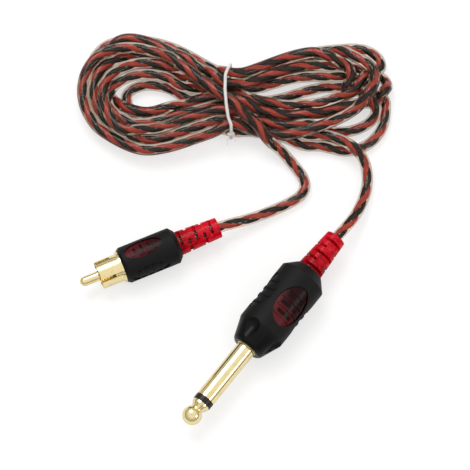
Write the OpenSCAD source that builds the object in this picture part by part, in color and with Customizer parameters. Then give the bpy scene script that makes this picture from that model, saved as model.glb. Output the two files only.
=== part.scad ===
// Instrument cable: a quarter-inch jack plug and an RCA plug on one clear-jacketed twisted pair,
// wound into a hank and tied at the waist. Millimetres, +Z up, the two plugs lie on z = 0.
// The origin is under the middle of the two plugs.

/* [Cable] */
// Outside diameter of the clear jacket
cable_d = 3.8; // [3.4:0.1:4.2]
// Diameter over the insulation of each inner lead
lead_d = 1.5; // [1.2:0.1:1.6]
// Diameter of each lead's bare copper
strand_d = 0.8; // [0.6:0.1:1]

/* [Jack shaft] */
// Diameter of the shaft, the quarter-inch standard
shaft_d = 6.35; // [6.25:0.05:6.45]
// Length of shaft and tip outside the cover
shaft_len = 31; // [30:0.5:32]
// Length of the tip in front of its insulating ring
tip_len = 8; // [7.5:0.1:8.5]
// Width of the insulating ring
ring_w = 1.9; // [1.2:0.1:2.4]
// Diameter of the tip's neck, where the socket's spring seats
neck_d = 4; // [3.6:0.1:4.4]
// Diameter of the rod that joins the tip to its solder lug
rod_d = 2.4; // [2:0.1:2.6]
// Wall of the insulating tube round the rod
tube_wall = 0.8; // [0.6:0.1:0.8]
// Diameter of the sleeve's buried barrel
barrel_d = 8.4; // [8:0.1:8.6]
// Length of the sleeve's barrel inside the cover
barrel_len = 8; // [7:0.5:8.5]

/* [Jack cover] */
// Diameter of the moulded cover
jack_cover_d = 16.2; // [15.8:0.2:17.2]
// Length of the cover
jack_cover_len = 33; // [31:1:36]
// Length of the tapered nose
nose_len = 7.5; // [7:0.5:8.5]
// Diameter of the nose's front face
nose_d = 11; // [10.8:0.2:11.6]
// Length of the rear taper
jack_rear_len = 3.6; // [3:0.2:4.2]
// Number of ball-nosed grip flutes round the nose
flutes = 4; // [3:1:5]
// Diameter of the cutter that leaves each flute
flute_d = 6; // [5:0.2:6.4]
// Distance of each flute's floor from the plug's axis
flute_floor = 5.85; // [5.6:0.05:6.6]
// Turn of the cover about its own axis, in degrees
jack_roll = 30; // [0:1:90]

/* [RCA plug] */
// Diameter of the centre pin
pin_d = 3.2; // [3:0.1:3.4]
// Length of the pin outside the cover
pin_len = 14.5; // [13.5:0.5:15.5]
// Outside diameter of the split collar
collar_d = 9.2; // [8.9:0.1:9.5]
// Wall of the collar
collar_wall = 0.5; // [0.4:0.05:0.6]
// Length of the collar outside the cover
collar_len = 8; // [7:0.5:9]
// Number of slots that split the collar
collar_slots = 4; // [3:1:6]
// Width of each slot
collar_slot_w = 1.1; // [0.6:0.1:1.4]
// Length of the collar left whole behind its slots
collar_root = 3; // [1.5:0.1:4]
// Diameter of the moulded cover
rca_cover_d = 12.2; // [12:0.2:13]
// Length of the cover
rca_cover_len = 19.7; // [18.5:0.2:22]
// Length of the rear taper
rca_rear_len = 1.4; // [0.8:0.2:2]
// Turn of the cover about its own axis, in degrees
rca_roll = -14; // [-90:1:90]

/* [Mouldings] */
// Wall of the jack's cover under its pads
jack_wall = 1.1; // [0.9:0.1:1.3]
// Wall of the RCA plug's cover under its pads
rca_wall = 0.8; // [0.7:0.05:0.9]
// Depth of the oval pads below the cover's surface
pad_depth = 0.45; // [0.3:0.05:0.6]
// Length of the jack's oval window
jack_window_len = 14.6; // [11:0.2:15]
// Width of the jack's oval window
jack_window_w = 10.2; // [7:0.2:10.4]
// Length of the RCA plug's oval window
rca_window_len = 12.8; // [9:0.2:13.4]
// Width of the RCA plug's oval window
rca_window_w = 6.2; // [5:0.2:7]
// Number of grip ribs on each pad
pad_ribs = 4; // [2:1:5]
// Width of each grip rib
rib_w = 0.8; // [0.6:0.1:1]

/* [Strain reliefs] */
// Length of each strain relief
boot_len = 14.4; // [13.6:0.2:16]
// Diameter of the jack's strain relief at its root
jack_boot_d = 8.8; // [8.4:0.1:9]
// Diameter of the RCA plug's strain relief at its root
rca_boot_d = 8.1; // [7.6:0.1:8.3]
// Diameter of each strain relief at its free end
boot_end_d = 6.8; // [6.2:0.1:7.1]
// Number of rows of slots in each strain relief
slot_rows = 5; // [4:1:6]
// Width of each slot
slot_w = 1; // [0.7:0.1:1.1]
// Sweep of each slot round the strain relief, in degrees
slot_sweep = 124; // [80:2:130]
// Length left whole in front of the first row
boot_root = 0.5; // [0.2:0.1:1]
// Length of the ring behind the last row
boot_ring = 2.2; // [1.4:0.1:2.6]

/* [Where the pieces lie] */
// Heading of the jack plug, from tip to cable, in degrees
jack_heading = 52; // [46:0.5:56]
// Heading of the RCA plug, from pin to cable, in degrees
rca_heading = 23.3; // [18:0.1:28]
// Height of the cable's hank
hank_h = 11.4; // [10.6:0.2:13]
// Thickness of the string that ties the hank
tie_t = 1.1; // [0.8:0.1:1.3]
// Width of the string
tie_w = 1.3; // [1:0.1:1.8]

/* [Hidden] */
$fn = 48;
eps = 0.02;
gold = [0.86, 0.7, 0.36];
tinned = [0.8, 0.8, 0.78];
copper = [0.78, 0.46, 0.3];
solder = [0.7, 0.71, 0.72];
red_pvc = [0.78, 0.04, 0.08];
black_pvc = [0.09, 0.09, 0.1];
clear_pvc = [0.74, 0.66, 0.6];

// Jack plug, along its own axis: z = 0 is the cover's front face and +z runs to the cable.
shaft_r = shaft_d / 2;
rod_r = rod_d / 2;
tube_r = rod_r + tube_wall;
barrel_r = barrel_d / 2;
shank_r = shaft_r + 0.25;
flange_w = 0.6;
flange_z = 1.2;
flange_len = 1;
lug_t = 0.5;
washer_t = 0.8;
rivet_len = 0.7;
rivet_r = rod_r + 0.6;
sleeve_lug_z = barrel_len;
washer_z = sleeve_lug_z + lug_t;
tip_lug_z = washer_z + washer_t;
rivet_z = tip_lug_z + lug_t;
ring_z = tip_len - shaft_len;
tail_end_z = rivet_z + 5.4;
strip_w = 3;
sleeve_strip_y = barrel_r - 0.6 - lug_t;
tip_strip_y = rivet_r + 0.2;
jack_solder_z = rivet_z + rivet_len + 1.4;
solder_len = 2.4;
strand_r = strand_d / 2;
lead_r = lead_d / 2;
cable_r = cable_d / 2;
pair_y = lead_r + 0.05;
jack_lead_z = tail_end_z + 0.3;
jack_cable_z = jack_lead_z + 4.8;
jack_end_z = jack_cover_len + boot_len;
jack_cover_r = jack_cover_d / 2;
jack_boot_r = jack_boot_d / 2;
jack_cavity_r = jack_cover_r - jack_wall - pad_depth;
jack_neck_z = jack_cover_len - jack_rear_len - 0.8;
edge = 0.7;
flute_end = nose_len + 0.7;

// RCA plug, along its own axis in the same way
pin_r = pin_d / 2;
collar_r = collar_d / 2;
collar_in = collar_r - collar_wall;
collar_rim_w = 0.6;
collar_rim_len = 0.7;
collar_tail = 3.4;
slot_depth = collar_len - collar_root;
insulator_front = 1.2;
pin_shank_r = pin_r + 0.25;
cup_r = 1.2;
cup_z = collar_tail + 1.6;
cup_len = 3.4;
cup_depth = 1.6;
rca_strip_y = collar_in - 0.5;
rca_solder_z = collar_tail + lug_t + 1.4;
rca_lead_z = cup_z + cup_len + 1.2;
rca_cable_z = rca_lead_z + 3.8;
crimp_z = rca_cable_z + 0.8;
crimp_len = 2.6;
crimp_t = 0.5;
rca_end_z = rca_cover_len + boot_len;
rca_cover_r = rca_cover_d / 2;
rca_boot_r = rca_boot_d / 2;
rca_cavity_r = rca_cover_r - rca_wall - pad_depth;
rca_neck_z = rca_cover_len - 2.4;

// Places of the two plugs, and of the points where the cable leaves their strain reliefs
jack_at = [10.99, -9.93, jack_cover_r];
rca_at = [-29.41, 18.41, rca_cover_r];
jack_exit = jack_at + jack_end_z * [cos(jack_heading), sin(jack_heading), 0];
rca_exit = rca_at + rca_end_z * [cos(rca_heading), sin(rca_heading), 0];

// Route of the cable from the jack plug into the hank
jack_route = [[44.5, 32.8, 7.4], [48.5, 39.5, 5], [50.6, 44.5, 3], [51.4, 50, 2.2],
    [50.6, 55.5, 3.4]];
jack_tail_end = [47.6, 61.4, 6];
jack_tail_dir = 120;
// Route of the cable from the RCA plug into the hank
rca_route = [[5.5, 33.8, 6], [12.5, 36.4, 3.6], [18.5, 38.8, 2], [25, 41.6, 1.9],
    [29.2, 44.4, 1.9], [30.6, 47.8, 1.9], [29.6, 51, 1.9], [26.8, 55.2, 1.9], [23.8, 59.2, 2.8],
    [21, 62, 4.6]];
rca_tail_end = [17.2, 65.2, 7];
rca_tail_dir = 140;
// Corners of the hank's outline and of its two eyes, joined by smooth curves
hank_outline = [[-46, 82], [-42, 94], [-32, 101.5], [-20, 100.5], [-8, 93.5], [5, 88.2],
    [16, 90], [30, 96], [44, 99.5], [55, 97], [60.5, 85], [59.5, 72], [53, 62.5], [42, 58.5],
    [28, 62], [16, 64], [5, 64.6], [-8, 60.5], [-20, 58], [-33, 62], [-42, 71]];
left_eye = [[-30, 78], [-25, 82.5], [-16, 83.5], [-6, 79], [-16, 75.5], [-26, 75.5]];
right_eye = [[24, 77], [34, 81.5], [45, 85.5], [40, 79], [31, 75.5]];
tie_x = 5;
waist_y = 76.4;
waist_w = 21.4;
tube_sides = 8;
notch_len = 12;
notch_w = cable_d + 2.6;
tube_steps = 3;

// A point of the smooth curve between p[i] and p[i + 1]
function spline_at(a, b, c, d, t) =
    0.5 * (2 * b + (c - a) * t + (2 * a - 5 * b + 4 * c - d) * t * t
    + (3 * b - a - 3 * c + d) * t * t * t);

// All points of an open smooth curve through p, with its ends aimed by first and last
function open_curve(p, first, last, steps) =
    let (q = concat([first], p, [last]))
    concat([for (i = [1:len(q) - 3], s = [0:steps - 1])
        spline_at(q[i - 1], q[i], q[i + 1], q[i + 2], s / steps)], [q[len(q) - 2]]);

// All points of a closed smooth curve through p
function closed_curve(p, steps) =
    let (n = len(p))
    [for (i = [0:n - 1], s = [0:steps - 1])
        spline_at(p[(i + n - 1) % n], p[i], p[(i + 1) % n], p[(i + 2) % n], s / steps)];

function unit(v) = v / norm(v);

// Direction of a route at point i, with its end faces square to first and last
function aim(p, i, first, last) =
    i == 0 ? first : i == len(p) - 1 ? last : unit(p[i + 1] - p[i - 1]);

function oval(length, width) =
    [for (i = [0:35]) [length / 2 * cos(10 * i), width / 2 * sin(10 * i)]];

// Turns a plug's own axis, +z, to its heading, with its own +x side up
module lay(at, heading, roll = 0) {
    translate(at) rotate([0, 0, heading]) rotate([0, 90, 0]) rotate([0, 0, 180 + roll]) children();
}

// A straight wire that leans inwards from y0 at z0 to y1 at z1, with flat ends
module leaning_wire(y0, y1, z0, z1, d) {
    lean = atan((y0 - y1) / (z1 - z0));
    intersection() {
        translate([0, y0, z0]) rotate([lean, 0, 0]) translate([0, 0, -d])
            cylinder(d = d, h = 2 * (z1 - z0) + 2 * d);
        translate([-d, -2 * d - abs(y0), z0]) cube([2 * d, 4 * d + 2 * abs(y0), z1 - z0]);
    }
}

// A tube of the cable's diameter swept along a route
module swept_tube(p, first, last) {
    n = tube_sides;
    rings = [for (i = [0:len(p) - 1])
        let (t = aim(p, i, first, last), side = unit(cross([0, 0, 1], t)), top = cross(t, side))
        for (k = [0:n - 1]) p[i] + cable_r * (cos(360 * k / n) * side + sin(360 * k / n) * top)];
    walls = [for (i = [0:len(p) - 2], k = [0:n - 1])
        [i * n + k, i * n + (k + 1) % n, (i + 1) * n + (k + 1) % n, (i + 1) * n + k]];
    start = [for (k = [0:n - 1]) n - 1 - k];
    finish = [for (k = [0:n - 1]) (len(p) - 1) * n + k];
    faces = concat(walls, [start, finish]);
    polyhedron(points = rings, faces = [for (f = faces) [for (k = [len(f) - 1:-1:0]) f[k]]]);
}

// The sector of a ring that one slot of a strain relief takes away
module slot_sector(r, sweep, height) {
    reach = r * 2;
    linear_extrude(height) polygon([[0, 0], [reach * cos(sweep / 2), -reach * sin(sweep / 2)],
        [reach, -reach * sin(sweep / 2)], [reach, reach * sin(sweep / 2)],
        [reach * cos(sweep / 2), reach * sin(sweep / 2)]]);
}

// Rows of paired slots, each row a quarter turn from the last, so that the relief bends evenly
module relief_slots(z, root_r) {
    pitch = (boot_len - boot_root - slot_w - boot_ring) / (slot_rows - 1);
    for (row = [0:slot_rows - 1], side = [0, 180])
        translate([0, 0, z + boot_root + row * pitch]) rotate([0, 0, side + 90 * (row % 2)])
            slot_sector(root_r, slot_sweep, slot_w);
}

// Oval prism that stands out of a plug's side
module oval_prism(z, length, width, reach) {
    translate([0, 0, z]) rotate([0, 90, 0]) linear_extrude(reach) polygon(oval(length, width));
}

// The same, clear of the cover's bore in front of its cavity
module window_prism(z, length, width, reach, front, bore_r) {
    difference() {
        oval_prism(z, length, width, reach);
        translate([0, 0, front - 2 * length]) cylinder(r = bore_r, h = 2 * length);
    }
}

// Grip ribs across an oval pad: plain bars, longer in the middle
module pad_bars(z, length, width, r) {
    pitch = length / (pad_ribs + 1);
    for (i = [1:pad_ribs]) {
        across = width * sqrt(1 - pow(2 * i / (pad_ribs + 1) - 1, 2)) - 1.6;
        translate([0, -across / 2, z - length / 2 + i * pitch - rib_w / 2])
            cube([r, across, rib_w]);
    }
}

// Blind oval recesses on the cover's other two sides, with the same ribs left standing
module cover_pads(z, length, width, r) {
    for (side = [90, 270]) rotate([0, 0, side]) difference() {
        oval_prism(z, length, width, r + 1);
        translate([0, 0, z - length]) cylinder(r = r - pad_depth, h = 2 * length);
        intersection() {
            pad_bars(z, length, width, r + 1);
            translate([0, 0, z - length]) cylinder(r = r - 0.1, h = 2 * length);
        }
    }
}

// The red mould's two pads, which fill the cover's windows
module mould_pads(z, length, width, r, front, bore_r) {
    for (side = [0, 180]) rotate([0, 0, side]) {
        intersection() {
            window_prism(z, length, width, r, front, bore_r);
            translate([0, 0, z - length]) cylinder(r = r - pad_depth, h = 2 * length);
        }
        intersection() {
            difference() {
                pad_bars(z, length, width, r);
                translate([0, 0, front - 2 * length]) cylinder(r = bore_r, h = 2 * length);
            }
            translate([0, 0, z - length]) cylinder(r = r - 0.1, h = 2 * length);
        }
    }
}

jack_window_z = (nose_len + jack_cover_len - jack_rear_len) / 2 - 0.4;
rca_window_z = rca_cover_len / 2 - 1.6;

// ---- Jack plug ----

module jack_tip_shape() {
    ball_r = shaft_r - 0.02;
    ball_z = ball_r - shaft_len;
    neck_r = neck_d / 2;
    neck_z = ball_z + sqrt(ball_r * ball_r - neck_r * neck_r) + 0.15;
    flare_r = shaft_r - 0.25;
    rotate_extrude() {
        intersection() {
            translate([0, ball_z]) circle(r = ball_r);
            translate([0, -shaft_len]) square([shaft_r, neck_z + shaft_len]);
        }
        polygon([[0, ball_z], [neck_r, ball_z], [neck_r, neck_z], [flare_r, neck_z + 1.5],
            [flare_r, ring_z], [0, ring_z]]);
        translate([0, ring_z - eps]) square([rod_r, rivet_z - ring_z + 2 * eps]);
        translate([0, rivet_z]) square([rivet_r, rivet_len]);
    }
}

module jack_tip() {
    color(gold) lay(jack_at, jack_heading) jack_tip_shape();
}

module jack_tip_insulator() {
    color(black_pvc) lay(jack_at, jack_heading) rotate_extrude()
        polygon([[rod_r, ring_z], [shaft_r, ring_z], [shaft_r, ring_z + ring_w],
            [tube_r, ring_z + ring_w], [tube_r, washer_z], [rod_r, washer_z]]);
}

module jack_sleeve() {
    color(gold) lay(jack_at, jack_heading) rotate_extrude()
        polygon([[tube_r, ring_z + ring_w], [shaft_r - 0.1, ring_z + ring_w],
            [shaft_r, ring_z + ring_w + 0.1], [shaft_r, 0], [shank_r, 0], [shank_r, flange_z],
            [barrel_r + flange_w, flange_z],
            [barrel_r + flange_w, flange_z + flange_len], [barrel_r, flange_z + flange_len],
            [barrel_r, barrel_len], [tube_r, barrel_len]]);
}

module jack_sleeve_lug_shape() {
    translate([0, 0, sleeve_lug_z]) difference() {
        cylinder(r = barrel_r - 0.6, h = lug_t);
        translate([0, 0, -1]) cylinder(r = tube_r, h = lug_t + 2);
    }
    translate([-strip_w / 2, sleeve_strip_y, sleeve_lug_z + lug_t / 2])
        cube([strip_w, lug_t, tail_end_z - sleeve_lug_z - lug_t / 2]);
}

module jack_sleeve_lug() {
    color(tinned) lay(jack_at, jack_heading) intersection() {
        jack_sleeve_lug_shape();
        cylinder(r = barrel_r - 0.6, h = tail_end_z + 1);
    }
}

module jack_lug_washer_shape() {
    difference() {
        translate([0, 0, washer_z]) cylinder(r = sleeve_strip_y - 0.1, h = washer_t);
        cylinder(r = rod_r, h = tip_lug_z + 1);
    }
}

module jack_lug_washer() {
    color("saddlebrown") lay(jack_at, jack_heading) jack_lug_washer_shape();
}

module jack_tip_lug_shape() {
    difference() {
        translate([0, 0, tip_lug_z]) cylinder(r = tip_strip_y + lug_t, h = lug_t);
        cylinder(r = rod_r, h = rivet_z + 1);
        translate([-strip_w, sleeve_strip_y - 0.2, tip_lug_z - 1]) cube([2 * strip_w, 4, lug_t + 2]);
    }
    intersection() {
        translate([-strip_w / 2, -tip_strip_y - lug_t, tip_lug_z + lug_t / 2])
            cube([strip_w, lug_t, tail_end_z - tip_lug_z - lug_t / 2]);
        cylinder(r = tip_strip_y + lug_t, h = tail_end_z + 1);
    }
}

module jack_tip_lug() {
    color(tinned) lay(jack_at, jack_heading) jack_tip_lug_shape();
}

jack_black_y = sleeve_strip_y - strand_r - 0.05;
jack_red_y = -tip_strip_y + strand_r + 0.05;

module solder_bead(y, z) {
    translate([0, y, z]) cylinder(r = strand_r + 0.55, h = solder_len);
}

module jack_sleeve_solder() {
    color(solder) lay(jack_at, jack_heading) difference() {
        solder_bead(jack_black_y, jack_solder_z);
        translate([-strip_w, sleeve_strip_y, 0]) cube([2 * strip_w, 4, jack_cover_len]);
        jack_black_strands_shape();
    }
}

module jack_tip_solder() {
    color(solder) lay(jack_at, jack_heading) difference() {
        solder_bead(jack_red_y, jack_solder_z);
        translate([-strip_w, -tip_strip_y - 4, 0]) cube([2 * strip_w, 4, jack_cover_len]);
        jack_red_strands_shape();
    }
}

module jack_black_strands_shape() {
    translate([0, jack_black_y, jack_solder_z - 0.5])
        cylinder(d = strand_d, h = jack_lead_z - jack_solder_z + 0.5);
}

module jack_black_strands() {
    color(copper) lay(jack_at, jack_heading) jack_black_strands_shape();
}

module jack_red_strands_shape() {
    translate([0, jack_red_y, jack_solder_z - 0.5])
        cylinder(d = strand_d, h = jack_lead_z - jack_solder_z + 0.5);
}

module jack_red_strands() {
    color(copper) lay(jack_at, jack_heading) jack_red_strands_shape();
}

module jack_black_lead_shape() {
    leaning_wire(jack_black_y, pair_y, jack_lead_z, jack_cable_z, lead_d);
}

module jack_black_lead() {
    color("dimgray") lay(jack_at, jack_heading) jack_black_lead_shape();
}

module jack_red_lead_shape() {
    leaning_wire(jack_red_y, -pair_y, jack_lead_z, jack_cable_z, lead_d);
}

module jack_red_lead() {
    color("firebrick") lay(jack_at, jack_heading) jack_red_lead_shape();
}

module jack_cable_end() {
    color(clear_pvc) lay(jack_at, jack_heading) translate([0, 0, jack_cable_z])
        cylinder(r = cable_r, h = jack_end_z - jack_cable_z);
}

// All that the red mould is cast round, so that it seats on each piece
module jack_inserts() {
    jack_tip_shape();
    translate([0, 0, barrel_len - 1]) cylinder(r = tube_r, h = washer_z - barrel_len + 1);
    intersection() {
        jack_sleeve_lug_shape();
        cylinder(r = barrel_r - 0.6, h = tail_end_z + 1);
    }
    jack_lug_washer_shape();
    jack_tip_lug_shape();
    difference() {
        solder_bead(jack_black_y, jack_solder_z);
        translate([-strip_w, sleeve_strip_y + lug_t, 0]) cube([2 * strip_w, 4, jack_cover_len]);
    }
    difference() {
        solder_bead(jack_red_y, jack_solder_z);
        translate([-strip_w, -tip_strip_y - lug_t - 4, 0])
            cube([2 * strip_w, 4, jack_cover_len]);
    }
    jack_black_strands_shape();
    jack_red_strands_shape();
    jack_black_lead_shape();
    jack_red_lead_shape();
    translate([0, 0, jack_cable_z]) cylinder(r = cable_r, h = jack_end_z);
}

module jack_inner_mould() {
    color(red_pvc) lay(jack_at, jack_heading, jack_roll) {
        difference() {
            union() {
                rotate_extrude() polygon([[0, barrel_len], [jack_cavity_r, barrel_len],
                    [jack_cavity_r, jack_neck_z], [jack_boot_r, jack_neck_z],
                    [jack_boot_r, jack_cover_len], [boot_end_d / 2, jack_end_z],
                    [0, jack_end_z]]);
                mould_pads(jack_window_z, jack_window_len, jack_window_w, jack_cover_r,
                    barrel_len, jack_cavity_r);
            }
            rotate([0, 0, -jack_roll]) jack_inserts();
            difference() {
                relief_slots(jack_cover_len, jack_boot_r);
                cylinder(r = cable_r, h = jack_end_z + 1);
            }
        }
    }
}

// One flute of the nose: a straight round-bottomed cut that ends in half a ball
module nose_flute() {
    r = flute_d / 2;
    translate([flute_floor + r, 0, flute_end - r]) rotate_extrude() {
        intersection() {
            circle(r = r);
            square([r, r]);
        }
        translate([0, -flute_end]) square([r, flute_end + eps]);
    }
}

module jack_cover() {
    color(black_pvc) lay(jack_at, jack_heading, jack_roll) difference() {
        rotate_extrude() polygon([[shank_r, 0], [nose_d / 2 - edge, 0], [nose_d / 2, edge],
            [jack_cover_r, nose_len], [jack_cover_r, jack_cover_len - jack_rear_len],
            [jack_boot_r + 0.5, jack_cover_len], [jack_boot_r, jack_cover_len],
            [jack_boot_r, jack_neck_z], [jack_cavity_r, jack_neck_z],
            [jack_cavity_r, barrel_len], [barrel_r, barrel_len],
            [barrel_r, flange_z + flange_len], [barrel_r + flange_w, flange_z + flange_len],
            [barrel_r + flange_w, flange_z], [shank_r, flange_z]]);
        for (i = [0:flutes - 1]) rotate([0, 0, (i + 0.5) * 360 / flutes]) nose_flute();
        for (side = [0, 180]) rotate([0, 0, side])
            window_prism(jack_window_z, jack_window_len, jack_window_w, jack_cover_d,
                barrel_len, jack_cavity_r);
        cover_pads(jack_window_z, jack_window_len, jack_window_w, jack_cover_r);
    }
}

// ---- RCA plug ----

module rca_pin_shape() {
    difference() {
        rotate_extrude() {
            intersection() {
                translate([0, pin_r - pin_len]) circle(r = pin_r);
                translate([0, -pin_len]) square([pin_r, pin_r]);
            }
            translate([0, pin_r - pin_len - eps]) square([pin_r, pin_len - pin_r]);
            translate([0, -insulator_front]) square([pin_shank_r, insulator_front + cup_z]);
            translate([0, cup_z - eps]) square([cup_r, cup_len + eps]);
        }
        translate([0, 0, cup_z + cup_len - cup_depth]) cylinder(r = strand_r, h = cup_depth + 1);
    }
}

module rca_pin() {
    color(gold) lay(rca_at, rca_heading) rca_pin_shape();
}

module rca_insulator() {
    color("ivory") lay(rca_at, rca_heading) rotate_extrude()
        polygon([[pin_shank_r, -insulator_front], [collar_in, -insulator_front],
            [collar_in, collar_tail], [pin_shank_r, collar_tail]]);
}

module rca_collar() {
    color(gold) lay(rca_at, rca_heading) difference() {
        rotate_extrude() polygon([[collar_in, -collar_len], [collar_r - 0.15, -collar_len],
            [collar_r, 0.15 - collar_len], [collar_r, -collar_rim_len],
            [collar_r + collar_rim_w, -collar_rim_len], [collar_r + collar_rim_w, 0],
            [collar_r, 0], [collar_r, collar_tail], [collar_in, collar_tail]]);
        for (i = [0:collar_slots - 1]) rotate([0, 0, (i + 0.5) * 360 / collar_slots])
            translate([0, -collar_slot_w / 2, -collar_len - 1])
                cube([collar_d, collar_slot_w, slot_depth + 1]);
    }
}

// Ground lug: a washer on the collar's back, a bent strap, and a crimp round the jacket
module rca_ground_lug_shape() {
    difference() {
        translate([0, 0, collar_tail]) cylinder(r = collar_r, h = lug_t);
        cylinder(r = pin_r + 0.6, h = cup_z);
    }
    translate([strip_w / 2, 0, 0]) rotate([0, -90, 0]) linear_extrude(strip_w)
        polygon([[collar_tail + lug_t / 2, rca_strip_y], [rca_lead_z, rca_strip_y],
            [crimp_z, cable_r], [crimp_z + crimp_len, cable_r],
            [crimp_z + crimp_len, cable_r + crimp_t], [crimp_z, cable_r + crimp_t],
            [rca_lead_z, rca_strip_y + lug_t], [collar_tail + lug_t / 2, rca_strip_y + lug_t]]);
    translate([0, 0, crimp_z]) cylinder(r = cable_r + crimp_t, h = crimp_len);
}

module rca_ground_lug() {
    color(tinned) lay(rca_at, rca_heading) difference() {
        rca_ground_lug_shape();
        translate([0, 0, rca_cable_z]) cylinder(r = cable_r, h = rca_end_z);
    }
}

rca_black_y = rca_strip_y - strand_r - 0.05;
rca_black_lead_y = rca_strip_y - lead_r - 0.15;

module rca_black_strands_shape() {
    translate([0, rca_black_y, rca_solder_z - 0.5])
        cylinder(d = strand_d, h = rca_lead_z - rca_solder_z + 0.5);
}

module rca_black_strands() {
    color(copper) lay(rca_at, rca_heading) rca_black_strands_shape();
}

module rca_red_strands_shape() {
    translate([0, 0, cup_z + cup_len - cup_depth])
        cylinder(r = strand_r, h = rca_lead_z - cup_z - cup_len + cup_depth);
}

module rca_red_strands() {
    color(copper) lay(rca_at, rca_heading) rca_red_strands_shape();
}

module rca_pin_solder_shape() {
    translate([0, 0, cup_z + cup_len]) cylinder(r1 = cup_r - 0.1, r2 = strand_r + 0.1, h = 0.7);
}

module rca_pin_solder() {
    color(solder) lay(rca_at, rca_heading) difference() {
        rca_pin_solder_shape();
        rca_red_strands_shape();
    }
}

module rca_ground_solder() {
    color(solder) lay(rca_at, rca_heading) difference() {
        solder_bead(rca_black_y, rca_solder_z);
        translate([-strip_w, rca_strip_y, 0]) cube([2 * strip_w, 4, rca_cover_len]);
        rca_black_strands_shape();
    }
}

module rca_black_lead_shape() {
    leaning_wire(rca_black_lead_y, pair_y, rca_lead_z, rca_cable_z, lead_d);
}

module rca_black_lead() {
    color("dimgray") lay(rca_at, rca_heading) rca_black_lead_shape();
}

module rca_red_lead_shape() {
    leaning_wire(0, -pair_y, rca_lead_z, rca_cable_z, lead_d);
}

module rca_red_lead() {
    color("firebrick") lay(rca_at, rca_heading) rca_red_lead_shape();
}

module rca_cable_end() {
    color(clear_pvc) lay(rca_at, rca_heading) translate([0, 0, rca_cable_z])
        cylinder(r = cable_r, h = rca_end_z - rca_cable_z);
}

module rca_inserts() {
    rca_pin_shape();
    rca_ground_lug_shape();
    solder_bead(rca_black_y, rca_solder_z);
    rca_black_strands_shape();
    rca_red_strands_shape();
    rca_pin_solder_shape();
    rca_black_lead_shape();
    rca_red_lead_shape();
    translate([0, 0, rca_cable_z]) cylinder(r = cable_r, h = rca_end_z);
}

module rca_inner_mould() {
    color(red_pvc) lay(rca_at, rca_heading, rca_roll) difference() {
        union() {
            rotate_extrude() polygon([[0, collar_tail], [rca_cavity_r, collar_tail],
                [rca_cavity_r, rca_neck_z], [rca_boot_r, rca_neck_z],
                [rca_boot_r, rca_cover_len], [boot_end_d / 2, rca_end_z], [0, rca_end_z]]);
            mould_pads(rca_window_z, rca_window_len, rca_window_w, rca_cover_r,
                collar_tail, rca_cavity_r);
        }
        rotate([0, 0, -rca_roll]) rca_inserts();
        difference() {
            relief_slots(rca_cover_len, rca_boot_r);
            cylinder(r = cable_r, h = rca_end_z + 1);
        }
    }
}

module rca_cover() {
    color(black_pvc) lay(rca_at, rca_heading, rca_roll) difference() {
        rotate_extrude() polygon([[collar_r, 0], [rca_cover_r - edge, 0],
            [rca_cover_r, edge + 0.3], [rca_cover_r, rca_cover_len - rca_rear_len],
            [rca_boot_r + 0.5, rca_cover_len], [rca_boot_r, rca_cover_len],
            [rca_boot_r, rca_neck_z], [rca_cavity_r, rca_neck_z], [rca_cavity_r, collar_tail],
            [collar_r, collar_tail]]);
        for (side = [0, 180]) rotate([0, 0, side])
            window_prism(rca_window_z, rca_window_len, rca_window_w, rca_cover_d,
                collar_tail, rca_cavity_r);
        cover_pads(rca_window_z, rca_window_len, rca_window_w, rca_cover_r);
    }
}

// ---- Cable ----

function heading(a) = [cos(a), sin(a), 0];

module jack_tail() {
    points = concat([jack_exit], jack_route, [jack_tail_end]);
    color(clear_pvc) swept_tube(open_curve(points, jack_exit - 5 * heading(jack_heading),
        jack_tail_end + 5 * heading(jack_tail_dir), tube_steps),
        heading(jack_heading), heading(jack_tail_dir));
}

module rca_tail() {
    points = concat([rca_exit], rca_route, [rca_tail_end]);
    color(clear_pvc) swept_tube(open_curve(points, rca_exit - 5 * heading(rca_heading),
        rca_tail_end + 3 * heading(rca_tail_dir), tube_steps),
        heading(rca_heading), heading(rca_tail_dir));
}

// Section of the waist inside the tie, grown outwards by more
module waist_section(more, low) {
    w = waist_w + 2 * more;
    h = hank_h - low + more;
    corner = 3 + more;
    translate([0, low]) union() {
        translate([-w / 2 + corner, 0]) square([w - 2 * corner, h]);
        translate([-w / 2, corner]) square([w, h - 2 * corner]);
        for (x = [-1, 1] * (w / 2 - corner), z = [corner, h - corner])
            translate([x, z]) circle(r = corner);
    }
}

// Stands a waist section up across the hank at the tie
module at_waist(length) {
    translate([tie_x - length / 2, waist_y, 0]) rotate([90, 0, 90]) linear_extrude(length)
        children();
}

// Room for the end of a cable tail, with a flat face that its end meets
module tail_notch(end, dir) {
    translate([end[0], end[1], 0]) rotate([0, 0, dir]) translate([-notch_len, -notch_w / 2, -1])
        cube([notch_len, notch_w, hank_h + 2]);
}

module cable_hank() {
    color(clear_pvc) difference() {
        linear_extrude(hank_h) difference() {
            polygon(closed_curve(hank_outline, 4));
            polygon(closed_curve(left_eye, 4));
            polygon(closed_curve(right_eye, 4));
        }
        difference() {
            at_waist(tie_w) translate([-waist_w, -1]) square([2 * waist_w, hank_h + 3]);
            at_waist(tie_w + 1) waist_section(0, tie_t);
        }
        tail_notch(jack_tail_end, jack_tail_dir);
        tail_notch(rca_tail_end, rca_tail_dir);
    }
}

module hank_tie() {
    color("white") at_waist(tie_w) difference() {
        waist_section(tie_t, 0);
        waist_section(0, tie_t);
    }
}

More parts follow.
